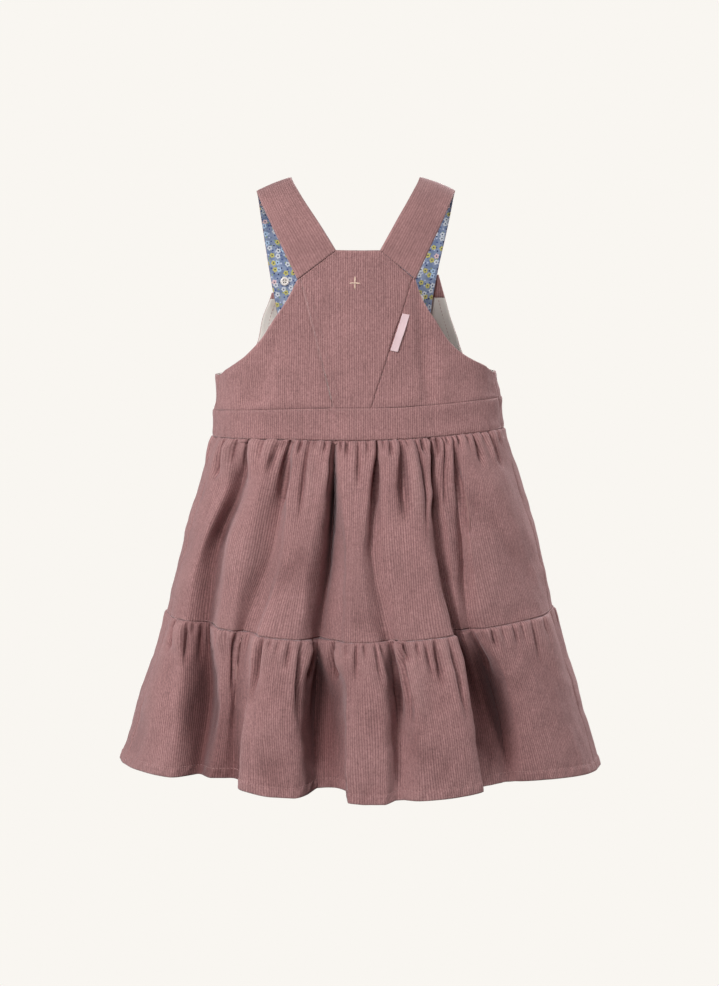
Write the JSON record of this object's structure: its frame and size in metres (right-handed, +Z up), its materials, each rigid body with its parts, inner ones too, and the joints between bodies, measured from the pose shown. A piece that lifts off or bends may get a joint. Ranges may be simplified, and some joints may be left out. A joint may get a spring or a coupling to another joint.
{
  "type": "pinafore dress",
  "caption": "Child's corduroy pinafore dress with a bib front, buttoned shoulder straps, a waistband and a gathered two-tier skirt, in its worn form.",
  "frame": {"origin": "midway between the tops of the two shoulder straps, where the dress is held; it hangs below", "axes": "+Z up, the front of the dress faces -Y, the wearer's left is +X"},
  "size_m": [0.4594, 0.3446, 0.5659],
  "materials": {
    "corduroy": "dusty mauve needlecord, about 2.2 mm from rib to rib, garment washed",
    "floral cotton": "plain-weave cotton, small scattered flowers on blue-grey",
    "lining cotton": "plain-weave cotton, off-white",
    "label tape": "pale pink woven tape, blank",
    "button": "off-white, satin"
  },
  "bodies": {
    "root": {"back_centre_panel": "corduroy", "back_side_left": "corduroy", "back_side_right": "corduroy", "band_back": "corduroy", "band_front": "corduroy", "front_bib": "corduroy", "bib_facing": "corduroy", "bib_lining": "lining cotton", "skirt_upper_back": "corduroy", "skirt_upper_front": "corduroy", "skirt_lower_back": "corduroy", "skirt_lower_front": "corduroy", "strap_left": "corduroy", "strap_right": "corduroy", "strap_lining_left": "floral cotton", "strap_lining_right": "floral cotton", "label": "label tape", "button_bib_left": "button", "button_bib_right": "button", "button_spare_left": "button", "backing_bib_left": "button", "backing_bib_right": "button", "backing_spare_left": "button"}
  },
  "joints": []
}
